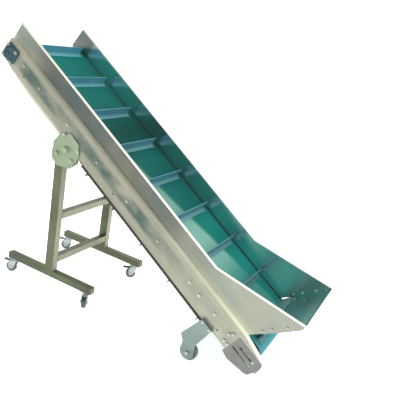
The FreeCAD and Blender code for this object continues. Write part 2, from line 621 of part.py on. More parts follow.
def foot_caps():
    """Plastic plugs in the open ends of the foot beams."""
    shapes = []
    for x0, x1 in ((FOOT_X[0] - 3, FOOT_X[0]), (FOOT_X[1], FOOT_X[1] + 3)):
        lid = box(x0, x1, *POST_Y, FOOT_TOP - FOOT, FOOT_TOP)
        shapes += [lid, mirrored(lid)]
    return shapes


def upright():
    return tube_z(*POST_X, *POST_Y, FOOT_TOP, POST_TOP)


def cross_bar(bottom):
    return tube_y(POST_X[1] - FOOT, POST_X[1], POST_Y[1], FAR - POST_Y[1], bottom, bottom + FOOT)


SWIVEL = {"near_head": 12.0, "near_tail": 118.0, "far_head": 20.0, "far_tail": 35.0}
CASTER_Y = ((POST_Y[0] + POST_Y[1]) / 2, FAR - (POST_Y[0] + POST_Y[1]) / 2)
CASTER_TOP = FOOT_TOP - FOOT


def turned(shape, x, y, angle):
    out = shape.copy()
    out.rotate(V(x, y, 0), V(0, 0, 1), angle)
    return out


def caster_plate(x, y):
    """Top plate with the upper race of the swivel, and the king pin."""
    plate = box(x - 32, x + 32, y - 19, y + 19, CASTER_TOP - 3, CASTER_TOP)
    race = Part.makeCone(16, 19, 8, V(x, y, CASTER_TOP - 11))
    pin = Part.makeCylinder(5, 14, V(x, y, CASTER_TOP - 22))
    head = Part.makeCylinder(9, 3, V(x, y, CASTER_TOP - 22))
    return fuse(plate, race, pin, head)


def caster_fork(x, y):
    """Pressed fork with a trailing axle and two ears for the pedal's pin."""
    top = CASTER_TOP - 11 - GAP
    axle_x, axle_z = x - CASTER_TRAIL, FLOOR_Z + CASTER_R
    half = CASTER_W / 2 + 2.5
    ring = Part.makeCylinder(18, 4, V(x, y, top - 4))
    crown = box(x - 24, x + 14, y - half - 2.5, y + half + 2.5, top - 7, top - 4)
    outline = [(x + 14, top - 4), (x - 34, top - 4), (x - 36, top - 14), (axle_x - 14, axle_z + 6),
               (axle_x - 6, axle_z - 12), (axle_x + 8, axle_z - 10), (x + 6, top - 34), (x + 14, top - 12)]
    legs = [prism(outline, a, a + 2.5) for a in (y - half - 2.5, y + half)]
    shape = fuse(ring, crown, *legs)
    shape = shape.cut(Part.makeCylinder(5 + RUN_FIT, 20, V(x, y, top - 12)))
    shape = shape.cut(rod(PEDAL_PIN + RUN_FIT, x + PEDAL_X, CASTER_TOP + PEDAL_Z, y - 40, y + 40))
    axle = fuse(rod(5, axle_x, axle_z, y - half - 5, y + half + 5),
                hexagon(axle_x, axle_z, 15, y - half - 8.5, y - half - 2.5),
                hexagon(axle_x, axle_z, 15, y + half + 2.5, y + half + 8.5))
    return fuse(shape, axle)


def caster_wheel(x, y):
    axle_x, axle_z = x - CASTER_TRAIL, FLOOR_Z + CASTER_R
    y0, y1 = y - CASTER_W / 2, y + CASTER_W / 2
    wheel = rod(CASTER_R, axle_x, axle_z, y0, y1)
    rims = [e for e in wheel.Edges if abs(e.Length - 2 * math.pi * CASTER_R) < 0.1]
    wheel = wheel.makeFillet(3, rims)
    pocket = [rod(22, axle_x, axle_z, a, a + 4).cut(rod(10, axle_x, axle_z, a, a + 4)) for a in (y0, y1 - 4)]
    return wheel.cut(Part.makeCompound(pocket)).cut(rod(5 + RUN_FIT, axle_x, axle_z, y0 - 1, y1 + 1))


PEDAL_PIN = 3.0
PEDAL_X, PEDAL_Z = -29.5, -21.5


def brake_pedal(x, y):
    """Foot pedal on a pin between the fork's ears, above the wheel."""
    px, pz = x + PEDAL_X, CASTER_TOP + PEDAL_Z
    pad = prism([(px - 46, pz - 1), (px - 46, pz + 3), (px - 12, pz + 2), (px - 2, pz + 4), (px + 4, pz + 3),
                 (px + 4, pz - 3), (px - 4, pz - 3), (px - 12, pz - 2)], y - 12, y + 12)
    return fuse(pad, rod(PEDAL_PIN, px, pz, y - 18, y + 18))


def stand():
    keep_pair("foot_beam", foot_beam(), keep)
    keep("foot_end_caps", *foot_caps())
    keep_pair("upright", upright(), keep)
    keep("cross_bars", cross_bar(-954.0), cross_bar(-1237.0))
    keep_pair("stand_plate", stand_plate(), keep)
    keep("caster_top_plates", *[caster_plate(x, y) for y in CASTER_Y for x in CASTER_X])
    for side, y in zip(("near", "far"), CASTER_Y):
        for end, x in zip(("head", "tail"), CASTER_X):
            place = f"{side}_{end}"
            keep("caster_fork_" + place, turned(caster_fork(x, y), x, y, SWIVEL[place]))
            keep("caster_wheel_" + place, turned(caster_wheel(x, y), x, y, SWIVEL[place]))
            keep("brake_pedal_" + place, turned(brake_pedal(x, y), x, y, SWIVEL[place]))


def trough():
    keep_pair("side_frame", side_frame())
    keep_pair("bottom_rail", bottom_rail())
    keep_pair("guard", guard())
    keep_belt("hopper_end_plate", hopper_plate())
    keep_belt("hopper_skirt", hopper_skirt())
    keep_belt("hopper_bolts", *hopper_bolts())
    keep_belt("slider_bed", slider_bed())
    keep_belt("cross_members", *cross_members())
    keep_belt("frame_bolts", *frame_bolts())
    keep_pair("return_rail", return_rail())
    keep_pair("pivot_plate", pivot_plate(), keep)
    keep("pivot_bolts", *pivot_bolts())
    keep_belt("belt", belt())
    keep_belt("belt_cleats", *cleats())
    keep_pair("wheel_bracket", wheel_bracket(), keep)
    keep("infeed_wheel_axles", infeed_axle(), mirrored(infeed_axle()))
    keep_pair("infeed_wheel", infeed_wheel(), keep)


def drive():
    keep_pair("head_bearing", flange_bearing())
    keep_belt("head_drum", drum(HEAD_U))
    keep_belt("head_shaft", rod(SHAFT_R, HEAD_U, AXIS_N, -WEB_OUT - BEARING_T - 6, GEARBOX_Y[1] + 6))
    keep_belt("gearbox", gearbox())
    keep_belt("motor", motor())
    keep_belt("terminal_box", terminal_box())
    keep_belt("torque_arm", torque_arm())


def tail():
    keep_pair("end_cap", end_cap())
    block = take_up_block()
    keep_belt("take_up_blocks", block, mirrored(block))
    keep_belt("take_up_screws", take_up_screw(), mirrored(take_up_screw()))
    keep_belt("tail_drum", drum(TAIL_U))
    keep_belt("tail_shaft", rod(SHAFT_R, TAIL_U, AXIS_N, TAIL_SHAFT_END, FAR - TAIL_SHAFT_END))


def main():
    os.makedirs("parts", exist_ok=True)
    stand()
    trough()
    drive()
    tail()
    for name, shape in PARTS.items():
        shape.exportStep(f"parts/{name}.step")
    whole = FreeCAD.BoundBox()
    for shape in PARTS.values():
        whole.add(shape.BoundBox)
    print(len(PARTS), "parts; x %.1f to %.1f, y %.1f to %.1f, z %.1f to %.1f"
          % (whole.XMin, whole.XMax, whole.YMin, whole.YMax, whole.ZMin, whole.ZMax))


main()
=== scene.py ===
"""Looks for the inclined cleated belt conveyor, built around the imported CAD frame. Metres, +Z up."""

import json
import math

import bmesh
import bpy
from mathutils import Matrix, Vector


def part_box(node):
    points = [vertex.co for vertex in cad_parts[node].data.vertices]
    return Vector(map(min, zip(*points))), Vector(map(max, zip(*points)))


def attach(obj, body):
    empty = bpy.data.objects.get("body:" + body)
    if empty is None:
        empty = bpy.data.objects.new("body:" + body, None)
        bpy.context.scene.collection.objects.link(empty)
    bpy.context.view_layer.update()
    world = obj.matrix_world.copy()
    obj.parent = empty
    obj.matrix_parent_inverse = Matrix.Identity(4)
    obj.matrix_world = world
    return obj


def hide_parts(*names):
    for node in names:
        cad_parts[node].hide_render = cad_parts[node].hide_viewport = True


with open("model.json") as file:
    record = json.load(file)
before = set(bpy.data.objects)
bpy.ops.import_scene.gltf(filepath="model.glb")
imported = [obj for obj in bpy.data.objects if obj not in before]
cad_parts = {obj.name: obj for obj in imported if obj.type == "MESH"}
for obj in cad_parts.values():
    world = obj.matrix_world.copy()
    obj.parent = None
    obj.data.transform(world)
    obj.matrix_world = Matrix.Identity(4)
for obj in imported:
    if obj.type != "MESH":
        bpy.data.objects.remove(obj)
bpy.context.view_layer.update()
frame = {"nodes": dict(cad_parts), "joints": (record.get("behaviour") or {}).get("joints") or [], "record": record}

# ---- frames -------------------------------------------------------------------------------------
# Sizes and outlines of pieces are millimetres.  "Belt" places use u down the slope, y across and n out
# of the belt; "stand" places are level.  Both share the zero point that the CAD part uses, in metres.
MM = 0.001
TILT = math.radians(34)
ZERO = Vector((0.9595, 0.31135, -1.42))
STAND = Matrix.Translation(-ZERO) @ Matrix.Scale(MM, 4)
BELT = Matrix.Translation(-ZERO) @ Matrix.Rotation(TILT, 4, "Y") @ Matrix.Scale(MM, 4)
ZERO_ON_SLOPE = Matrix.Rotation(-TILT, 3, "Y") @ ZERO
U_SHIFT, N_SHIFT = ZERO_ON_SLOPE.x, ZERO_ON_SLOPE.z
UP = Vector((0, 0, 1))
OUT_OF_BELT = Vector((math.sin(TILT), 0, math.cos(TILT)))

# Belt and pulleys
WIDTH = 500.0
BELT_EDGE = 10.0
BELT_THICK = 3.0
PULLEY_RADIUS = 58.0
AXIS_N = -61.0
HEAD_U, TAIL_U = 50.0, 2131.0
RETURN_N, RETURN_U = -182.0, (790.0, 1860.0)
CLEATS = 18
FIRST_CLEAT_U = 87.8

SIDES = ("near", "far")
PLACES = ("near_head", "near_tail", "far_head", "far_tail")
BELT_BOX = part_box("belt")
MIDDLE_Y = BELT_BOX[0].y + (BELT_BOX[1].y - BELT_BOX[0].y) / 2

RECORD = frame["record"]
SLOTS = {s["node"]: s["material_slot"] for s in RECORD["subparts"]}
SLOT_NAMES = {m["slot"] for m in RECORD["materials"]}
BODY = {n: b for b, nodes in RECORD["behaviour"]["bodies"].items() for n in nodes}


# ---- material nodes -----------------------------------------------------------------------------
# Sockets of a Mix node that mixes colours: the two colours and the result.
COLOUR_A, COLOUR_B, COLOUR_OUT = 6, 7, 2
PLAIN = (1.0, 1.0, 1.0)
# Painted light and shade down the slope span this length in metres, and no tone is stronger than the top one.
TONE_LENGTH = 2.25
TOP_TONE = 3.0
# Every material, by the name it was asked for.
MATS = {}


def node_tree(name):
    """A new material, its nodes and links, and its shader."""
    mat = bpy.data.materials.new(name)
    MATS[name] = mat
    mat.use_nodes = True
    nodes = mat.node_tree.nodes
    return mat, nodes, mat.node_tree.links, nodes["Principled BSDF"]


def base_colour(mat):
    """Nodes and links of a finished material, its base colour socket and what feeds that."""
    nodes, links = mat.node_tree.nodes, mat.node_tree.links
    base = nodes["Principled BSDF"].inputs["Base Color"]
    return nodes, links, base, base.links[0].from_socket


def coords(nodes, links, scale, turn=0.0):
    """Object coordinates, turned so that X runs along the piece, then scaled per axis."""
    source = nodes.new("ShaderNodeTexCoord")
    mapping = nodes.new("ShaderNodeMapping")
    mapping.vector_type = "POINT"
    rotate = nodes.new("ShaderNodeVectorRotate")
    rotate.rotation_type = "Y_AXIS"
    rotate.inputs["Angle"].default_value = -turn
    mapping.inputs["Scale"].default_value = scale
    links.new(source.outputs["Object"], rotate.inputs["Vector"])
    links.new(rotate.outputs["Vector"], mapping.inputs["Vector"])
    return mapping.outputs["Vector"]


def slope_axes(nodes, links, turn=TILT):
    """Sockets X, Y and Z of a place: down the slope, across, and out of the belt, in metres."""
    split = nodes.new("ShaderNodeSeparateXYZ")
    links.new(coords(nodes, links, PLAIN, turn), split.inputs[0])
    return split.outputs


def noise(nodes, links, vector, scale, detail=4.0, rough=0.5):
    tex = nodes.new("ShaderNodeTexNoise")
    tex.inputs["Scale"].default_value = scale
    tex.inputs["Detail"].default_value = detail
    tex.inputs["Roughness"].default_value = rough
    links.new(vector, tex.inputs["Vector"])
    return tex.outputs["Fac"]


def mixed(nodes, links, amount, one, two):
    """Mix two colours, each a socket or a tuple, by a socket."""
    mix = nodes.new("ShaderNodeMix")
    mix.data_type = "RGBA"
    links.new(amount, mix.inputs[0])
    for index, colour in ((COLOUR_A, one), (COLOUR_B, two)):
        if isinstance(colour, tuple):
            mix.inputs[index].default_value = colour + (1.0,)
        else:
            links.new(colour, mix.inputs[index])
    return mix.outputs[COLOUR_OUT]


def ramp(nodes, links, fac, low, high, start=0.3, end=0.7):
    """Blend two colours or two values while fac goes from start to end."""
    span = nodes.new("ShaderNodeMapRange")
    span.inputs["From Min"].default_value = start
    span.inputs["From Max"].default_value = end
    links.new(fac, span.inputs["Value"])
    if isinstance(low, tuple):
        return mixed(nodes, links, span.outputs["Result"], low, high)
    span.inputs["To Min"].default_value = low
    span.inputs["To Max"].default_value = high
    return span.outputs["Result"]


def scaled(nodes, links, value, factor, offset):
    """value * factor + offset; the offset may be a socket."""
    node = nodes.new("ShaderNodeMath")
    node.operation = "MULTIPLY_ADD"
    links.new(value, node.inputs[0])
    node.inputs[1].default_value = factor
    if isinstance(offset, float):
        node.inputs[2].default_value = offset
    else:
        links.new(offset, node.inputs[2])
    return node.outputs[0]


def product(nodes, links, one, two):
    node = nodes.new("ShaderNodeMath")
    node.operation = "MULTIPLY"
    links.new(one, node.inputs[0])
    links.new(two, node.inputs[1])
    return node.outputs[0]


def bump(nodes, links, bsdf, fac, strength, distance):
    node = nodes.new("ShaderNodeBump")
    node.inputs["Strength"].default_value = strength
    node.inputs["Distance"].default_value = distance
    links.new(fac, node.inputs["Height"])
    links.new(node.outputs["Normal"], bsdf.inputs["Normal"])


def srgb(r, g, b):
    """A display colour, 0 to 255, as the linear values that shaders take."""
    def linear(c):
        c /= 255.0
        return c / 12.92 if c <= 0.04045 else ((c + 0.055) / 1.055) ** 2.4
    return linear(r), linear(g), linear(b)


# ---- painted light and shade by place -----------------------------------------------------------
def paint_light_and_shade_along(mat, stops):
    """Paint light, shade and reflection into a material down the slope: (u in mm, factor) pairs multiply its base
    colour.
    """
    nodes, links, base, colour = base_colour(mat)
    down = slope_axes(nodes, links)["X"]
    share = ramp(nodes, links, down, 0.0, 1.0, -U_SHIFT, TONE_LENGTH - U_SHIFT)
    shade = nodes.new("ShaderNodeValToRGB")
    shade.color_ramp.interpolation = "EASE"
    elements = shade.color_ramp.elements
    while len(elements) < len(stops):
        elements.new(0.5)
    for element, (u, factor) in zip(elements, stops):
        element.position = u * MM / TONE_LENGTH
        element.color = (factor / TOP_TONE,) * 3 + (1.0,)
    links.new(share, shade.inputs["Fac"])
    full = nodes.new("ShaderNodeVectorMath")
    full.operation = "SCALE"
    full.inputs["Scale"].default_value = TOP_TONE
    links.new(shade.outputs["Color"], full.inputs[0])
    toned = nodes.new("ShaderNodeVectorMath")
    toned.operation = "MULTIPLY"
    links.new(colour, toned.inputs[0])
    links.new(full.outputs[0], toned.inputs[1])
    links.new(toned.outputs[0], base)
    return mat


def shaded_below(mat, height, factor, blend=0.02):
    """Paint shade or light into a material: darken or lighten it under a height n (mm) of the belt frame, over a
    blend in metres.
    """
    nodes, links, base, colour = base_colour(mat)
    level = height * MM - N_SHIFT
    out = slope_axes(nodes, links)["Z"]
    shade = ramp(nodes, links, out, factor, 1.0, level - blend, level + blend)
    toned = nodes.new("ShaderNodeVectorMath")
    toned.operation = "SCALE"
    links.new(colour, toned.inputs[0])
    links.new(shade, toned.inputs["Scale"])
    links.new(toned.outputs[0], base)
    return mat


def with_reflection_patches(nodes, links, colour, cast, window, ragged, turn, blend=0.010):
    """Lay tinted patches of painted reflection along a sheet, fainter down the slope, maybe kept between two
    heights n (mm).
    """
    patch = noise(nodes, links, coords(nodes, links, (2.6, 3.0, 5.0), turn), 1.9, 3.0, 0.5)
    amount = ramp(nodes, links, patch, 0.0, 1.0, 0.34, 0.62)
    axes = slope_axes(nodes, links, turn)
    if window:
        height = scaled(nodes, links, ragged, 0.012, axes["Z"])
        low, high = [n * MM - N_SHIFT for n in window]
        above = ramp(nodes, links, height, 0.0, 1.0, low - blend, low + blend)
        below = ramp(nodes, links, height, 1.0, 0.0, high - blend, high + blend)
        amount = product(nodes, links, product(nodes, links, above, below), amount)
    fading = ramp(nodes, links, axes["X"], 1.0, 0.3, -0.3, 0.0)
    return mixed(nodes, links, product(nodes, links, amount, fading), colour, cast)


# ---- materials ----------------------------------------------------------------------------------
def metal(name, dark, light, rough, turn=0.0, lines=(1.5, 60.0, 60.0), metallic=0.85, marks=0.35,
          cloudy=3.2, cast=None, window=None):
    """Rolled or brushed metal: long fine lines, cloudy tone, a few duller marks and maybe tinted patches of
    painted reflection.
    """
    mat, nodes, links, bsdf = node_tree(name)
    brushed = noise(nodes, links, coords(nodes, links, lines, turn), 9.0, 6.0, 0.65)
    cloud = noise(nodes, links, coords(nodes, links, (1.0, 1.6, 1.6), turn), cloudy, 3.0)
    blotch = noise(nodes, links, coords(nodes, links, PLAIN, turn), 14.0, 5.0, 0.6)
    colour = ramp(nodes, links, scaled(nodes, links, brushed, 0.45, cloud), dark, light, 0.45, 1.0)
    if cast:
        colour = with_reflection_patches(nodes, links, colour, cast, window, blotch, turn)
    links.new(colour, bsdf.inputs["Base Color"])
    dull = scaled(nodes, links, blotch, marks, rough - marks * 0.5)
    links.new(scaled(nodes, links, brushed, 0.12, dull), bsdf.inputs["Roughness"])
    bsdf.inputs["Metallic"].default_value = metallic
    bump(nodes, links, bsdf, brushed, 0.18, 0.0004)
    return mat


def coated(name, dark, light, rough, grain, strength, metallic=0.0, coat=0.0, turn=0.0, cloud=5.0,
           specular=0.5):
    """Paint, plastic or rubber: cloudy tone over a fine grain."""
    mat, nodes, links, bsdf = node_tree(name)
    vector = coords(nodes, links, PLAIN, turn)
    fine = noise(nodes, links, vector, grain, 3.0, 0.6)
    wide = noise(nodes, links, vector, cloud, 4.0, 0.55)
    links.new(ramp(nodes, links, wide, dark, light), bsdf.inputs["Base Color"])
    links.new(ramp(nodes, links, wide, rough - 0.06, rough + 0.08), bsdf.inputs["Roughness"])
    bsdf.inputs["Metallic"].default_value = metallic
    bsdf.inputs["Specular IOR Level"].default_value = specular
    bsdf.inputs["Coat Weight"].default_value = coat
    bsdf.inputs["Coat Roughness"].default_value = 0.12
    bump(nodes, links, bsdf, fine, strength, 0.0003)
    return mat


# Painted light, shade and reflection down the slope: factors on the base colour, as (u in mm, factor).
DOWN_THE_SHEET = ((0, 2.2), (130, 1.7), (320, 1.0), (1300, 1.0), (1550, 1.55), (1800, 2.0), (2250, 2.05))
DOWN_THE_FRAME = ((0, 1.35), (300, 1.2), (600, 1.05), (1300, 0.95), (1550, 1.05), (1800, 1.15), (2250, 1.12))
DOWN_THE_RAIL = ((0, 1.3), (500, 1.35), (900, 0.85), (1200, 0.68), (1700, 0.95), (2250, 1.0))
DOWN_THE_BAND = ((0, 1.25), (400, 1.35), (1000, 1.35), (1600, 2.1), (2250, 2.9))
DOWN_THE_HEM = ((0, 0.62), (400, 0.7), (1000, 0.82), (1500, 1.0))
DOWN_THE_INSIDE = ((0, 0.68), (95, 0.64), (135, 1.45), (300, 1.7), (800, 1.35), (1300, 1.5), (1700, 1.55),
                   (2000, 1.8), (2130, 1.15), (2250, 0.95))
DOWN_THE_BELT = ((0, 0.8), (300, 0.66), (480, 0.6), (740, 0.28), (1000, 0.52), (1250, 0.6), (1500, 0.85),
                 (1800, 1.0))
DOWN_THE_CLEATS = ((0, 1.15), (300, 1.0), (700, 0.8), (1200, 0.85), (1500, 0.9), (1800, 0.65), (2000, 0.6))
DOWN_THE_BED = ((0, 1.4), (700, 0.8), (1300, 0.3), (2250, 0.12))

# Cleats below this height n lie on the return strand, under the trough, and are painted darker by this factor:
# painted shade.
RETURN_SHADE = (-165.0, 0.12)
# The guards are painted lighter below this height n, where their folds meet the side frames: a painted reflection
# of the bright flange.
GUARD_FOOT = (26.0, 1.75)
# The painted reflection patches on the side frames keep to the web, between these heights n.
WEB = (-84.0, -14.0)


def belt_cover(ripple_depth=0.03, slant=-0.235):
    """Green belt cover with painted light and shade down the slope, a painted sage reflection of the guard along
    its near edge, slanting down the slope, and a painted bluish reflection at its low end.
    """
    mat = coated("belt", srgb(15, 107, 100), srgb(27, 123, 115), 0.46, 900.0, 0.10, turn=TILT, specular=0.05)
    nodes, links, base, colour = base_colour(paint_light_and_shade_along(mat, DOWN_THE_BELT))
    axes = slope_axes(nodes, links)
    ripple = noise(nodes, links, coords(nodes, links, PLAIN, TILT), 2.5, 2.0)
    across = scaled(nodes, links, ripple, ripple_depth, axes["Y"])
    across = scaled(nodes, links, axes["X"], slant, across)
    amount = ramp(nodes, links, across, 0.8, 0.0, 0.015, 0.045)
    sage = ramp(nodes, links, axes["X"], srgb(90, 118, 104), srgb(124, 168, 156), -0.9, 0.0)
    fading = ramp(nodes, links, axes["X"], 1.0, 0.25, 0.05, 0.2)
    with_sage_reflection = mixed(nodes, links, product(nodes, links, amount, fading), colour, sage)
    low_end_reflection = ramp(nodes, links, axes["X"], 0.0, 0.5, 0.46, 0.53)
    links.new(mixed(nodes, links, low_end_reflection, with_sage_reflection, srgb(62, 142, 166)), base)
    return mat


def cleat_plastic(name, dark, light, specular=0.3):
    return coated(name, dark, light, 0.42, 700.0, 0.10, turn=TILT, specular=specular)


def small_metal(name, dark, light, rough, line=30.0):
    """Metal of a small part, with fine lines alike in every direction."""
    return metal(name, dark, light, rough, 0.0, (line, line, line))


def make_materials():
    """Fill MATS with every material of the conveyor."""
    # The cast colours of the guard sheet and the side-frame web are patches of painted reflection.
    sheet = metal("stainless_sheet", srgb(106, 108, 97), srgb(129, 128, 115), 0.42, TILT, metallic=0.45,
                  cast=srgb(94, 104, 104))
    web = metal("stainless_frame", srgb(141, 141, 127), srgb(162, 159, 144), 0.38, TILT,
                cast=srgb(84, 102, 94), window=WEB)
    # Three copies of one cleat plastic: the foot is painted lighter, painted light on its upward face.
    blade = cleat_plastic("cleat", srgb(56, 118, 138), srgb(74, 136, 154))
    foot = cleat_plastic("cleat_foot", srgb(70, 128, 136), srgb(88, 144, 148))
    edge = cleat_plastic("cleat_edge", srgb(60, 112, 124), srgb(78, 130, 138))
    mirror = metal("mirror_sheet", srgb(172, 182, 184), srgb(186, 195, 195), 0.14, TILT, metallic=1.0,
                   marks=0.04, cloudy=1.6)
    # Lighter copies of the steel where light falls: painted light on the guards' upward hems, the side frames'
    # upward flanges and the bottom rails' outward faces. A dark copy for the slider bed's top faces: painted shade
    # in the gap beside the belt.
    hem = metal("painted_lit_hem", srgb(222, 220, 202), srgb(242, 241, 230), 0.55, TILT, metallic=0.2)
    band = metal("painted_lit_band", srgb(162, 161, 145), srgb(184, 181, 163), 0.5, TILT, metallic=0.35)
    strip = metal("rail_strip", srgb(158, 158, 138), srgb(182, 180, 158), 0.5, TILT, metallic=0.35)
    bed = metal("bed_shade", srgb(30, 62, 58), srgb(42, 76, 70), 0.5, TILT, metallic=0.1)
    # Painted light, shade and reflection by place: tones down the slope, a painted reflection at the guards' feet
    # and painted shade on the return-strand cleats.
    shaded_below(paint_light_and_shade_along(sheet, DOWN_THE_SHEET), *GUARD_FOOT)
    paint_light_and_shade_along(web, DOWN_THE_FRAME)
    paint_light_and_shade_along(mirror, DOWN_THE_INSIDE)
    paint_light_and_shade_along(hem, DOWN_THE_HEM)
    paint_light_and_shade_along(band, DOWN_THE_BAND)
    paint_light_and_shade_along(strip, DOWN_THE_RAIL)
    paint_light_and_shade_along(bed, DOWN_THE_BED)
    belt_cover()
    shaded_below(paint_light_and_shade_along(blade, DOWN_THE_CLEATS), *RETURN_SHADE)
    shaded_below(paint_light_and_shade_along(foot, DOWN_THE_CLEATS), *RETURN_SHADE)
    shaded_below(edge, *RETURN_SHADE)
    # Teal-tinted mirror for the hopper end plate's insides: the tint is a painted reflection of the belt.
    metal("mirror_plate", srgb(150, 196, 190), srgb(168, 210, 204), 0.16, TILT, metallic=1.0,
          marks=0.06, cloudy=1.6)
    metal("stand_steel", srgb(82, 90, 72), srgb(108, 113, 91), 0.42, 0.0, (20.0, 20.0, 20.0))
    # Lighter copy of the stand steel for faces towards +X: painted light.
    metal("stand_painted_lit", srgb(144, 146, 124), srgb(166, 166, 146), 0.5, 0.0, (20.0, 20.0, 20.0),
          metallic=0.5)
    metal("plate_steel", srgb(138, 154, 130), srgb(160, 172, 148), 0.42, 0.0, (12.0, 12.0, 30.0))
    metal("bracket_plate", srgb(104, 122, 120), srgb(140, 154, 148), 0.34, 0.0, (14.0, 14.0, 20.0))
    metal("pulley_steel", srgb(118, 122, 122), srgb(160, 162, 162), 0.34, TILT, (40.0, 2.0, 40.0))
    small_metal("zinc_bolts", srgb(150, 158, 150), srgb(190, 194, 184), 0.24, 40.0)
    small_metal("zinc_fork", srgb(164, 172, 172), srgb(206, 210, 208), 0.3)
    small_metal("plate_bolts", srgb(150, 166, 140), srgb(172, 184, 158), 0.42, 20.0)
    small_metal("bearing_steel", srgb(48, 66, 72), srgb(78, 98, 102), 0.36)
    small_metal("thread", srgb(130, 134, 132), srgb(170, 172, 170), 0.35)
    small_metal("weld", srgb(110, 110, 94), srgb(150, 148, 132), 0.45)
    coated("cap_metal", srgb(106, 108, 104), srgb(134, 134, 130), 0.38, 420.0, 0.3, metallic=0.7)
    coated("gear_alloy", srgb(130, 134, 135), srgb(160, 163, 163), 0.45, 260.0, 0.5, metallic=0.8)
    coated("bearing_paint", srgb(22, 58, 70), srgb(40, 82, 92), 0.40, 500.0, 0.25, coat=0.1)
    coated("motor_paint", srgb(52, 74, 88), srgb(72, 92, 106), 0.42, 500.0, 0.3, coat=0.2)
    coated("slide_plastic", srgb(14, 15, 16), srgb(26, 27, 27), 0.5, 300.0, 0.2)
    coated("box_plastic", srgb(44, 48, 52), srgb(60, 64, 68), 0.5, 600.0, 0.35)
    coated("pedal_plastic", srgb(36, 46, 52), srgb(60, 72, 78), 0.42, 420.0, 0.3, cloud=30.0)
    coated("end_plugs", srgb(92, 90, 66), srgb(120, 116, 90), 0.5, 420.0, 0.3, cloud=30.0)
    coated("skirt_rubber", srgb(62, 104, 106), srgb(84, 124, 124), 0.5, 400.0, 0.25)
    coated("wheel_rubber", srgb(80, 94, 92), srgb(108, 120, 116), 0.5, 380.0, 0.35, cloud=22.0)
    coated("caster_tread", srgb(66, 76, 80), srgb(100, 108, 110), 0.48, 420.0, 0.35, cloud=22.0)
    coated("caster_core", srgb(104, 116, 120), srgb(150, 158, 158), 0.4, 320.0, 0.2, cloud=30.0)


make_materials()

# Materials that the record has no slot for, and the slot that each belongs to.
EXTRA_SLOTS = {"caster_core": "caster_tread", "cleat_edge": "cleat", "cleat_foot": "cleat",
               "plate_bolts": "zinc_bolts", "bearing_steel": "pulley_steel", "thread": "zinc_bolts",
               "weld": "stand_steel"}

for node, obj in frame["nodes"].items():
    obj.data.materials.clear()
    obj.data.materials.append(MATS[SLOTS[node]])


# ---- mesh helpers -------------------------------------------------------------------------------
# Cosines between a face's normal and a direction: faces that lie roughly that way, and all faces.
FACING = 0.7
EVERY_FACE = -2.0
# CAD nodes made of broad flat faces.
FLAT_SIDED = ("side_frame", "bottom_rail", "guard", "return_rail", "pivot_plate", "stand_plate", "foot_beam",
              "upright", "wheel_bracket", "cross_bars", "hopper_end_plate", "slider_bed")
# In a CAD mesh, vertices this near (in metres) are one, faces that turn less than the flat angle are one,
# and edges over the sharp angle are rounded.
SAME_PLACE = 2e-5
FLAT_ANGLE = math.radians(0.6)
SHARP_ANGLE = math.radians(35)


def paint_faces(mesh, rules):
    """Give faces whose normal lies near a direction another material: (direction, cosine, material)."""
    for direction, cosine, material in rules:
        mesh.materials.append(MATS[material])
        index = len(mesh.materials) - 1
        for poly in mesh.polygons:
            if poly.normal.dot(direction) > cosine:
                poly.material_index = index


def flatten_wide_faces(mesh, width=0.004):
    """Shade faces over about this width (in metres) flat, so that rounded edges leave no streaks on them."""
    for poly in mesh.polygons:
        around = sum((mesh.vertices[a].co - mesh.vertices[b].co).length for a, b in poly.edge_keys)
        poly.use_smooth = 2 * poly.area < width * around


def piece(name, bm, body, material, node=None, where=None, angle=32, rules=(), flat=False):
    """Finish a bmesh as an object in the row frame that rides a body, and may stand for a CAD node."""
    bmesh.ops.recalc_face_normals(bm, faces=bm.faces[:])
    if where is not None:
        bm.transform(where)
    mesh = bpy.data.meshes.new(name)
    bm.to_mesh(mesh)
    bm.free()
    for poly in mesh.polygons:
        poly.use_smooth = True
    mesh.set_sharp_from_angle(angle=math.radians(angle))
    if flat:
        flatten_wide_faces(mesh)
    mesh.materials.append(MATS[material])
    paint_faces(mesh, rules)
    obj = bpy.data.objects.new(name, mesh)
    bpy.context.scene.collection.objects.link(obj)
    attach(obj, body)
    if node:
        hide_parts(node)
    material if material in SLOT_NAMES else EXTRA_SLOTS[material]


def refine(node, width=0.5, segments=2, rules=()):
    """A finer copy of a CAD node: flat faces merged and sharp edges rounded."""
    bm = bmesh.new()
    bm.from_mesh(frame["nodes"][node].data)
    bmesh.ops.remove_doubles(bm, verts=bm.verts[:], dist=SAME_PLACE)
    bmesh.ops.dissolve_limit(bm, angle_limit=FLAT_ANGLE, verts=bm.verts[:], edges=bm.edges[:])
    sharp = [e for e in bm.edges if len(e.link_faces) == 2 and e.calc_face_angle(0.0) > SHARP_ANGLE]
    bmesh.ops.bevel(bm, geom=sharp, offset=width * MM, segments=segments, affect="EDGES", profile=0.6,
                    clamp_overlap=True)
    piece("fine_" + node, bm, BODY[node], SLOTS[node], node, rules=rules, flat=node.startswith(FLAT_SIDED))


def lathe(profile, centre, axis=(0, 1, 0), steps=48):
    """Turn a closed (along, radius) profile about an axis through centre."""
    bm = bmesh.new()
    axis = Vector(axis).normalized()
    side = axis.orthogonal().normalized()
    up = axis.cross(side)
    rings = []
    for i in range(steps):
        a = 2 * math.pi * i / steps
        out = side * math.cos(a) + up * math.sin(a)
        rings.append([bm.verts.new(Vector(centre) + axis * h + out * r) for h, r in profile])
    count = len(profile)
    for i in range(steps):
        one, two = rings[i], rings[(i + 1) % steps]
        for j in range(count):
            k = (j + 1) % count
            on_axis = profile[j][1] < 1e-6 and profile[k][1] < 1e-6
            if not on_axis:
                bm.faces.new((one[j], one[k], two[k], two[j]))
    bmesh.ops.remove_doubles(bm, verts=bm.verts[:], dist=1e-6)
    return bm


def both_ways(half):
    """A (along, radius) profile and its mirror image, as one closed profile."""
    return half + [(-h, r) for h, r in reversed(half)]


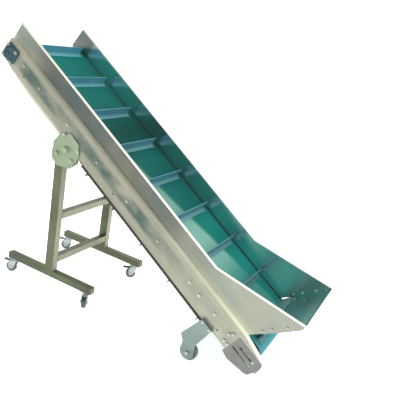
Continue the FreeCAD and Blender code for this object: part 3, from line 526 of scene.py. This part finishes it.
def join(target, other):
    """Pour a bmesh into the first one."""
    mesh = bpy.data.meshes.new("tmp")
    other.to_mesh(mesh)
    other.free()
    target.from_mesh(mesh)
    bpy.data.meshes.remove(mesh)


def prism(outline, y0, y1, bevel=0.0):
    """Extrude an (x, z) outline along Y, and round its edges if a bevel is given."""
    bm = bmesh.new()
    low = [bm.verts.new((x, y0, z)) for x, z in outline]
    high = [bm.verts.new((x, y1, z)) for x, z in outline]
    bm.faces.new(low)
    bm.faces.new(high)
    for i in range(len(outline)):
        j = (i + 1) % len(outline)
        bm.faces.new((low[i], low[j], high[j], high[i]))
    if bevel:
        bmesh.ops.recalc_face_normals(bm, faces=bm.faces[:])
        sharp = [e for e in bm.edges if e.calc_face_angle(0.0) > math.radians(30)]
        bmesh.ops.bevel(bm, geom=sharp, offset=bevel, segments=3, affect="EDGES", profile=0.5,
                        clamp_overlap=True)
    return bm


def hex_head(centre, direction, flats, height, to_side=4, size=0.985):
    """Hexagon head standing on centre along direction; each corner is cut in two, some degrees to each side."""
    bm = bmesh.new()
    axis = Vector(direction).normalized()
    side = axis.orthogonal().normalized()
    up = axis.cross(side)
    corner = flats / math.sqrt(3)
    corners = 12
    levels = [(0.0, 1.0), (0.82 * height, 1.0), (height, 0.88)]
    rings = []
    for h, k in levels:
        ring = []
        for i in range(corners):
            a = math.radians(60 * (i // 2)) + math.radians(to_side if i % 2 else -to_side)
            out = side * math.cos(a) + up * math.sin(a)
            ring.append(bm.verts.new(Vector(centre) + axis * h + out * corner * k * size))
        rings.append(ring)
    for one, two in zip(rings, rings[1:]):
        for i in range(corners):
            j = (i + 1) % corners
            bm.faces.new((one[i], one[j], two[j], two[i]))
    bm.faces.new(rings[0])
    bm.faces.new(rings[-1])
    return bm


def connected(start, seen):
    """Places of every vertex that edges join to the first one; their indexes are added to seen."""
    stack, found = [start], []
    seen.add(start.index)
    while stack:
        v = stack.pop()
        found.append(v.co.copy())
        for e in v.link_edges:
            w = e.other_vert(v)
            if w.index not in seen:
                seen.add(w.index)
                stack.append(w)
    return found


def loose_parts(node):
    """(centre, low, high) of each separate solid of a CAD node, in row-frame metres."""
    bm = bmesh.new()
    bm.from_mesh(frame["nodes"][node].data)
    bmesh.ops.remove_doubles(bm, verts=bm.verts[:], dist=1e-5)
    seen, parts = set(), []
    for start in bm.verts:
        if start.index in seen:
            continue
        found = connected(start, seen)
        low = Vector([min(c[i] for c in found) for i in range(3)])
        high = Vector([max(c[i] for c in found) for i in range(3)])
        parts.append(((low + high) / 2, low, high))
    bm.free()
    return parts


# ---- fasteners ----------------------------------------------------------------------------------
# A CAD bolt is this many thread diameters wide.
HEAD_WIDTH = 2.2
THREAD_STEPS = 18


def bolt_set(node, material="zinc_bolts"):
    """Washer, chamfered head, threaded shank and nut in place of each bolt of a CAD node."""
    heads, threads = bmesh.new(), bmesh.new()
    for centre, low, high in loose_parts(node):
        length = high.y - low.y
        size = (high.x - low.x) / HEAD_WIDTH
        outward = -1.0 if centre.y < MIDDLE_Y else 1.0
        face = low.y if outward < 0 else high.y
        head, washer, nut = 0.64 * size, 0.2 * size, 0.8 * size
        grip = length - head - washer - 0.9 * size
        flats = 1.66 * size
        hole, rim = 0.55 * size, 1.09 * size

        def at(distance):
            return Vector((centre.x, face - outward * distance, centre.z))
        join(heads, hex_head(at(head), (0, outward, 0), flats, head * 0.98))
        ring = [(0, hole), (0, size), (washer * 0.3, rim), (washer, rim), (washer, hole)]
        join(heads, lathe(ring, at(head), (0, -outward, 0), 32))
        join(heads, hex_head(at(head + washer + grip + nut), (0, outward, 0), flats, nut))
        start = head + washer
        shank = [(start, 0.0)]
        for i in range(THREAD_STEPS + 1):
            shank.append((start + (length - start) * i / THREAD_STEPS, size * (0.5 if i % 2 else 0.46)))
        shank.append((length, 0.0))
        join(threads, lathe(shank, at(0), (0, -outward, 0), 18))
    piece(node + "_heads", heads, BODY[node], material, node, angle=25)
    piece(node + "_threads", threads, BODY[node], "thread", angle=60)


# Dome bolts, in metres: (along, radius) of the head from inside, then the shank and the nut outside.
DOME = [(0.0, 0.0), (0.0006, 0.003), (0.0018, 0.0062), (0.0036, 0.0082), (0.005, 0.0087), (0.005, 0.0)]
DOME_SHANK = (0.004, 0.0039)
DOME_NUT_FROM, DOME_NUT_FLATS, DOME_NUT_HEIGHT = 0.0061, 0.0128, 0.0062


def dome_bolts():
    """Dome heads inside the hopper, with hexagon nuts outside the guards."""
    bm = bmesh.new()
    for centre, low, high in loose_parts("hopper_bolts"):
        out = -1.0 if centre.y < MIDDLE_Y else 1.0
        inner = high.y if out < 0 else low.y
        outer = low.y if out < 0 else high.y
        x, z = centre.x, centre.z
        join(bm, lathe(DOME, (x, inner, z), (0, out, 0), 32))
        start, radius = DOME_SHANK
        span = abs(outer - inner)
        shank = [(start, 0.0), (start, radius), (span, radius), (span, 0.0)]
        join(bm, lathe(shank, (x, inner, z), (0, out, 0), 16))
        nut = (x, inner + out * DOME_NUT_FROM, z)
        join(bm, hex_head(nut, (0, out, 0), DOME_NUT_FLATS, DOME_NUT_HEIGHT))
    piece("hopper_bolts_fine", bm, "trough", "zinc_bolts", "hopper_bolts", angle=30)


bolt_set("frame_bolts")
bolt_set("pivot_bolts", "plate_bolts")
dome_bolts()

# ---- sheet metal, plates and tube ---------------------------------------------------------------
# Stand faces towards +X get a lighter copy of the stand steel: painted light where the side lamp falls.
STAND_SIDES = [(Vector((1, 0, 0)), FACING, "stand_painted_lit"), (UP, FACING, "stand_steel")]
# Inner faces of the hopper end plate get a teal-tinted mirror: the tint is a painted reflection of the belt.
END_PLATE_INSIDE = [(Vector((0, 1, 0)), FACING, "mirror_plate"), (Vector((0, -1, 0)), FACING, "mirror_plate"),
                    (Vector((-1, 0, 0)), 0.2, "mirror_plate")]
# Side-frame flanges, guard hems and bottom-rail outward faces get lighter copies: painted light. Guard insides get
# the mirror sheet, toned with painted reflection.
for side in SIDES:
    inward = Vector((0, 1 if side == "near" else -1, 0))
    refine("side_frame_" + side, 0.6, rules=[(OUT_OF_BELT, FACING, "painted_lit_band")])
    refine("bottom_rail_" + side, 0.6, rules=[(-inward, FACING, "rail_strip")])
    refine("guard_" + side, 0.5, rules=[(inward, FACING, "mirror_sheet"), (OUT_OF_BELT, FACING, "painted_lit_hem")])
    refine("return_rail_" + side, 0.6)
    refine("pivot_plate_" + side, 0.7)
    refine("stand_plate_" + side, 0.7)
    refine("foot_beam_" + side, 1.6, 3, STAND_SIDES)
    refine("upright_" + side, 1.8, 3, STAND_SIDES)
    refine("end_cap_" + side, 1.2, 3)
    refine("wheel_bracket_" + side, 0.7, rules=[(UP, EVERY_FACE, "bracket_plate")])
refine("cross_bars", 1.6, 3, STAND_SIDES)
refine("hopper_end_plate", 0.5, rules=END_PLATE_INSIDE)
# Top faces of the slider bed are painted dark: painted shade in the gap beside the belt.
refine("slider_bed", 0.6, rules=[(OUT_OF_BELT, FACING, "bed_shade")])
for node in ("cross_members", "hopper_skirt", "foot_end_caps", "torque_arm", "take_up_blocks", "take_up_screws",
             "gearbox", "motor", "terminal_box", "caster_top_plates", "tail_shaft", "infeed_wheel_axles",
             "head_drum", "tail_drum"):
    refine(node, 0.6)
refine("head_shaft", 0.6, rules=[(Vector((0, -1, 0)), FACING, "bearing_steel")])


# ---- belt and cleats ----------------------------------------------------------------------------
def leave_angle(pulley_u, bend_u, radius, low):
    """Where the return strand touches a pulley, as an angle turned downhill from the pulley's top."""
    toward = math.atan2(bend_u - pulley_u, low - AXIS_N) % (2 * math.pi)
    spread = math.acos(radius / math.hypot(bend_u - pulley_u, low - AXIS_N))
    return toward + math.copysign(spread, bend_u - pulley_u)


def on_pulley(pulley_u, radius, angle):
    return pulley_u + radius * math.sin(angle), AXIS_N + radius * math.cos(angle)


def belt_line(offset, arc_steps=40, run_steps=60):
    """Closed line of (u, n) points of the belt, offset outwards from its inner face."""
    r = PULLEY_RADIUS + offset
    low = RETURN_N + BELT_THICK - offset
    start = leave_angle(HEAD_U, RETURN_U[0], r, low)
    end = leave_angle(TAIL_U, RETURN_U[1], r, low)
    points = [on_pulley(HEAD_U, r, start + (2 * math.pi - start) * i / arc_steps) for i in range(arc_steps + 1)]
    points += [(HEAD_U + (TAIL_U - HEAD_U) * i / run_steps, AXIS_N + r) for i in range(1, run_steps)]
    points += [on_pulley(TAIL_U, r, end * i / arc_steps) for i in range(arc_steps + 1)]
    return points + [(RETURN_U[1], low), (RETURN_U[0], low)]


def make_belt(rounding=0.8):
    """Belt with softly rounded cut edges."""
    bm = bmesh.new()
    y0, y1 = BELT_EDGE, WIDTH - BELT_EDGE
    outer = BELT_THICK - rounding
    section = [(0.0, y0 + rounding), (rounding, y0), (outer, y0), (BELT_THICK, y0 + rounding),
               (BELT_THICK, y1 - rounding), (outer, y1), (rounding, y1), (0.0, y1 - rounding)]
    lines = [[bm.verts.new((u, y, n)) for u, n in belt_line(off)] for off, y in section]
    count = len(lines[0])
    for i in range(len(section)):
        one, two = lines[i], lines[(i + 1) % len(section)]
        for j in range(count):
            k = (j + 1) % count
            bm.faces.new((one[j], one[k], two[k], two[j]))
    piece("belt_fine", bm, "trough", "belt", "belt", BELT, 30)


def straight(a, b):
    """A straight stretch from a to b: its length, and the (u, n, turn) at a distance along it."""
    length = math.hypot(b[0] - a[0], b[1] - a[1])
    turn = math.atan2(a[1] - b[1], b[0] - a[0])
    return length, lambda d: (a[0] + (b[0] - a[0]) * d / length, a[1] + (b[1] - a[1]) * d / length, turn)


def around(pulley_u, radius, start, end):
    """A stretch round a pulley, in the same form."""
    def place(d):
        return (*on_pulley(pulley_u, radius, start + d / radius), start + d / radius)
    return (end - start) * radius, place


def stretches():
    """Outer face of the belt, from the top of the head pulley down the slope and back."""
    r = PULLEY_RADIUS + BELT_THICK
    head_leave = leave_angle(HEAD_U, RETURN_U[0], r, RETURN_N)
    tail_leave = leave_angle(TAIL_U, RETURN_U[1], r, RETURN_N)
    tail, head = (RETURN_U[1], RETURN_N), (RETURN_U[0], RETURN_N)
    return [straight((HEAD_U, 0), (TAIL_U, 0)), around(TAIL_U, r, 0.0, tail_leave),
            straight(on_pulley(TAIL_U, r, tail_leave), tail), straight(tail, head),
            straight(head, on_pulley(HEAD_U, r, head_leave)), around(HEAD_U, r, head_leave, 2 * math.pi)]


def cleat_places():
    """The (u, n, turn) of each cleat, evenly spaced round the belt."""
    runs = stretches()
    pitch = sum(length for length, place in runs) / CLEATS
    for i in range(CLEATS):
        distance = FIRST_CLEAT_U - HEAD_U + i * pitch
        for length, place in runs:
            if distance <= length:
                break
            distance -= length
        yield place(distance)


# Cleat outlines, (along the belt, out of it), and the span of all cleats across the belt.
CLEAT_SPAN = (40.0, 460.0)
BLADE = [(-3.0, 1.0), (-3.0, 46.8), (3.0, 46.8), (3.0, 8.0), (4.2, 4.6), (4.2, 1.0)]
TOP_EDGE = [(-3.0, 46.8), (-2.9, 48.6), (-1.6, 49.9), (1.6, 49.9), (2.9, 48.6), (3.0, 46.8)]
FOOT = [(-9.0, 0.0), (-8.0, 1.4), (-3.6, 3.8), (3.8, 4.4), (12.0, 3.6), (29.4, 2.7), (30.6, 1.8), (31.0, 0.0)]


def make_cleats():
    """Blade, welded foot painted lighter as painted light on its upward face, and light top edge of every cleat.
    """
    y0, y1 = CLEAT_SPAN
    blades, feet, edges = bmesh.new(), bmesh.new(), bmesh.new()
    for u, n, turn in cleat_places():
        where = Matrix.Translation((u, 0, n)) @ Matrix.Rotation(turn, 4, "Y")
        for bm, outline, inset in ((blades, BLADE, 0.4), (feet, FOOT, 0.0), (edges, TOP_EDGE, 0.6)):
            part = prism(outline, y0 + inset, y1 - inset)
            part.transform(where)
            join(bm, part)
    piece("cleat_blades", blades, "trough", "cleat", "belt_cleats", BELT, 40)
    piece("cleat_feet", feet, "trough", "cleat_foot", None, BELT, 40)
    piece("cleat_edges", edges, "trough", "cleat_edge", None, BELT, 50)


make_belt()
make_cleats()

# ---- bearings -----------------------------------------------------------------------------------
# Housing outline about the shaft, and turned profiles as (along their axis, radius).
HOUSING_HALF, HOUSING_CORNER = 47.5, 15.0
HOUSING_Y = (-45.0, -34.0)
HUB = [(-64.0, 17.5), (-64.0, 27.0), (-61.5, 30.0), (-54.0, 31.5), (-49.0, 34.5), (-44.0, 37.0), (-44.0, 17.5)]
PAD = [(-46.0, 0.0), (-46.0, 9.6), (-44.6, 11.0), (-36.0, 11.5), (-36.0, 0.0)]
PAD_OFFSETS = (-34, 34)
INNER_RING = [(-63.0, 12.6), (-63.0, 16.4), (-62.2, 17.2), (-50.0, 17.2), (-50.0, 12.6)]
NIPPLE = [(0.0, 0.0), (0.0, 2.6), (3.0, 2.6), (3.6, 1.6), (5.4, 1.6), (6.4, 2.2), (7.6, 1.4), (8.0, 0.0)]
NIPPLE_PLACE = (HEAD_U - 22.0, -56.0, AXIS_N + 22.0)
TO_FAR_SIDE = Matrix.Translation((0, WIDTH, 0)) @ Matrix.Scale(-1, 4, (0, 1, 0))


def make_bearing(side):
    """Cast flange housing with bolt pads and a hub, then the inner ring and a grease nipple."""
    h, c = HOUSING_HALF, HOUSING_CORNER
    corners = [(-h + c, -h), (h - c, -h), (h, -h + c), (h, h - c), (h - c, h), (-h + c, h), (-h, h - c),
               (-h, -h + c)]
    housing = prism([(HEAD_U + a, AXIS_N + b) for a, b in corners], *HOUSING_Y, 2.5)
    join(housing, lathe(HUB, (HEAD_U, 0, AXIS_N)))
    for a in PAD_OFFSETS:
        for b in PAD_OFFSETS:
            join(housing, lathe(PAD, (HEAD_U + a, 0, AXIS_N + b), steps=24))
    inner = lathe(INNER_RING, (HEAD_U, 0, AXIS_N))
    join(inner, lathe(NIPPLE, NIPPLE_PLACE, (-0.7, 0, 0.7), 16))
    if side == "far":
        housing.transform(TO_FAR_SIDE)
        inner.transform(TO_FAR_SIDE)
    piece("bearing_housing_" + side, housing, "trough", "bearing_paint", "head_bearing_" + side, BELT, 35)
    piece("bearing_ring_" + side, inner, "trough", "bearing_steel", None, BELT, 35)


for side in SIDES:
    make_bearing(side)


# ---- wheels and casters -------------------------------------------------------------------------
# Half profiles of the wheels' cores, as (along the axle, radius), and the infeed wheels' stand places.
INFEED_CORE = [(-13.0, 6.1), (-13.0, 12.5), (-11.5, 14.0), (-8.0, 15.0), (-6.5, 30.0), (-8.0, 33.0),
               (-13.0, 34.0), (-13.5, 36.0)]
CASTER_CORE = [(-11.8, 5.1), (-11.8, 9.0), (-10.8, 10.0), (-7.6, 11.0), (-7.0, 19.0), (-8.5, 21.5),
               (-11.0, 22.5), (-11.2, 24.5)]
INFEED_WHEEL = {"near": (1425.0, -27.0, -1370.0), "far": (1425.0, 527.0, -1370.0)}


def tyre_profile(radius, half, tread, round_by, steps=6):
    """Tyre cross-section between the core and a rounded running face."""
    points = [(-half + 1.0, radius - tread)]
    for i in range(steps + 1):
        a = math.pi / 2 * i / steps
        points.append((-half + round_by - round_by * math.cos(a), radius - round_by + round_by * math.sin(a)))
    return both_ways(points)


def in_metres(profile):
    return [(h * MM, r * MM) for h, r in profile]


def make_infeed_wheels():
    for side in SIDES:
        centre = INFEED_WHEEL[side]
        body = "wheel_" + side
        tyre = lathe(tyre_profile(radius=50.0, half=15.0, tread=14.0, round_by=5.0), centre, steps=64)
        core = lathe(both_ways(INFEED_CORE), centre, steps=64)
        piece("infeed_tyre_" + side, tyre, body, "wheel_rubber", "infeed_wheel_" + side, STAND, 35)
        piece("infeed_core_" + side, core, body, "wheel_rubber", None, STAND, 30)


def make_casters():
    for place in PLACES:
        spin = next(j for j in frame["joints"] if j["name"] == "caster_spin_" + place)
        centre, axis = Vector(spin["pos_m"]), Vector(spin["axis"])
        body = "caster_" + place
        profile = tyre_profile(radius=32.5, half=12.0, tread=8.0, round_by=4.0)
        tyre = lathe(in_metres(profile), centre, axis, 56)
        core = lathe(in_metres(both_ways(CASTER_CORE)), centre, axis, 56)
        piece("caster_tyre_" + place, tyre, body, "caster_tread", "caster_wheel_" + place, None, 35)
        piece("caster_core_" + place, core, body, "caster_core", None, None, 30)
        refine("caster_fork_" + place, 0.5)
        refine("brake_pedal_" + place, 0.6)


make_infeed_wheels()
make_casters()


# ---- welds --------------------------------------------------------------------------------------
# Stand places: the faces of the uprights, the tops of the foot beams, and the sides and lower faces of the
# cross bars.  Beads stop short of the corners.
UPRIGHT_X = (386.0, 446.0)
UPRIGHT_Y = ((-24.0, 16.0), (484.0, 524.0))
FOOT_TOP_Z = -1288.0
BAR_X = (406.0, 446.0)
BAR_LOW_Z = (-954.0, -1237.0)
BAR_HEIGHT = 40.0
SHORT = 3.0


def weld(bm, start, end, radius=2.6, ripple=2.2):
    """Rippled bead between two points."""
    a, b = Vector(start), Vector(end)
    length = (b - a).length
    steps = max(4, int(length / ripple))
    profile = [(0.0, 0.0)]
    for i in range(steps + 1):
        profile.append((length * i / steps, radius * (1.0 if i % 2 else 0.78)))
    profile.append((length, 0.0))
    join(bm, lathe(profile, a, b - a, 10))


def stand_welds():
    """Beads at the foot of each upright and round the ends of both cross bars."""
    bm = bmesh.new()
    for y0, y1 in UPRIGHT_Y:
        for x in UPRIGHT_X:
            weld(bm, (x, y0 + SHORT, FOOT_TOP_Z), (x, y1 - SHORT, FOOT_TOP_Z))
        inner = y1 if y0 < 0 else y0
        for low in BAR_LOW_Z:
            for z in (low + BAR_HEIGHT, low):
                weld(bm, (BAR_X[0] + SHORT, inner, z), (BAR_X[1] - SHORT, inner, z))
        for x in BAR_X:
            for z in BAR_LOW_Z:
                weld(bm, (x, inner, z + SHORT), (x, inner, z + BAR_HEIGHT - SHORT))
    piece("stand_welds", bm, "stand", "weld", None, STAND, 50)


stand_welds()

# ---- camera, light and floor --------------------------------------------------------------------
# Where the camera stands, in metres, and its right, down and forward directions.
CAMERA_PLACE = (1.36094, -2.52878, 1.67528)
RIGHT = Vector((0.86885173, 0.46148043, 0.17925535))
DOWN = Vector((0.29994274, -0.20262103, -0.93219047))
FORWARD = Vector((-0.39386676, 0.86370164, -0.31446533))
# White sweep, in metres: its sides, front edge, where it starts to curve up, the curve and its top.
SWEEP_X = (-14.0, 12.0)
SWEEP_FRONT, SWEEP_BEND = -8.0, 6.0
SWEEP_RADIUS, SWEEP_TOP = 2.0, 9.0
SWEEP_STEPS = 12
BELOW_THE_FLOOR = 0.0005


def add_camera():
    data = bpy.data.cameras.new("camera")
    data.sensor_width = 36.0
    data.lens = 46.477
    data.clip_end = 100.0
    cam = bpy.data.objects.new("camera", data)
    bpy.context.scene.collection.objects.link(cam)
    turn = Matrix((RIGHT, -DOWN, -FORWARD)).transposed().to_4x4()
    cam.matrix_world = Matrix.Translation(CAMERA_PLACE) @ turn
    bpy.context.scene.camera = cam


def area_light(name, place, target, size, power):
    data = bpy.data.lights.new(name, "AREA")
    data.shape = "RECTANGLE"
    data.size, data.size_y = size
    data.energy = power
    light = bpy.data.objects.new(name, data)
    bpy.context.scene.collection.objects.link(light)
    light.location = place
    light.rotation_euler = (Vector(target) - Vector(place)).to_track_quat("-Z", "Y").to_euler()


def add_world():
    """Soft white room, brighter overhead and towards +X."""
    world = bpy.data.worlds.new("studio")
    bpy.context.scene.world = world
    world.use_nodes = True
    nodes, links = world.node_tree.nodes, world.node_tree.links
    coord = nodes.new("ShaderNodeTexCoord")
    split = nodes.new("ShaderNodeSeparateXYZ")
    links.new(coord.outputs["Generated"], split.inputs[0])
    overhead = ramp(nodes, links, split.outputs["Z"], 0.55, 1.1, 0.1, 0.95)
    aside = ramp(nodes, links, split.outputs["X"], 0.0, 0.5, 0.2, 0.9)
    both = nodes.new("ShaderNodeMath")
    links.new(overhead, both.inputs[0])
    links.new(aside, both.inputs[1])
    back = nodes["Background"]
    back.inputs["Color"].default_value = (0.97, 1.0, 0.98, 1.0)
    links.new(both.outputs[0], back.inputs["Strength"])


def sweep_white():
    mat, nodes, links, bsdf = node_tree("white_sweep")
    cloud = noise(nodes, links, coords(nodes, links, PLAIN), 0.6, 2.0)
    links.new(ramp(nodes, links, cloud, (0.93, 0.93, 0.93), (0.95, 0.95, 0.95)), bsdf.inputs["Base Color"])
    bsdf.inputs["Roughness"].default_value = 0.9
    bsdf.inputs["Emission Color"].default_value = (1.0, 1.0, 1.0, 1.0)
    bsdf.inputs["Emission Strength"].default_value = 0.62
    return mat


def add_floor():
    """White sweep: floor, curve and back wall in one sheet."""
    bm = bmesh.new()
    rows = [(SWEEP_FRONT, 0.0), (SWEEP_BEND, 0.0)]
    for i in range(1, SWEEP_STEPS + 1):
        a = math.pi / 2 * i / SWEEP_STEPS
        rows.append((SWEEP_BEND + SWEEP_RADIUS * math.sin(a), SWEEP_RADIUS - SWEEP_RADIUS * math.cos(a)))
    rows.append((SWEEP_BEND + SWEEP_RADIUS, SWEEP_TOP))
    lines = [[bm.verts.new((x, y, z - BELOW_THE_FLOOR)) for x in SWEEP_X] for y, z in rows]
    for one, two in zip(lines, lines[1:]):
        bm.faces.new((one[0], one[1], two[1], two[0]))
    mesh = bpy.data.meshes.new("floor")
    bm.to_mesh(mesh)
    bm.free()
    for poly in mesh.polygons:
        poly.use_smooth = True
    mesh.materials.append(sweep_white())
    obj = bpy.data.objects.new("floor", mesh)
    bpy.context.scene.collection.objects.link(obj)


bpy.context.scene.view_settings.view_transform = "Standard"
add_camera()
add_world()
add_floor()
area_light("key", (1.0, 0.6, 4.6), (0.2, 0.0, 0.6), (3.0, 3.0), 70)
area_light("side", (4.2, -1.2, 1.4), (0.6, 0.0, 0.5), (2.0, 2.0), 25)
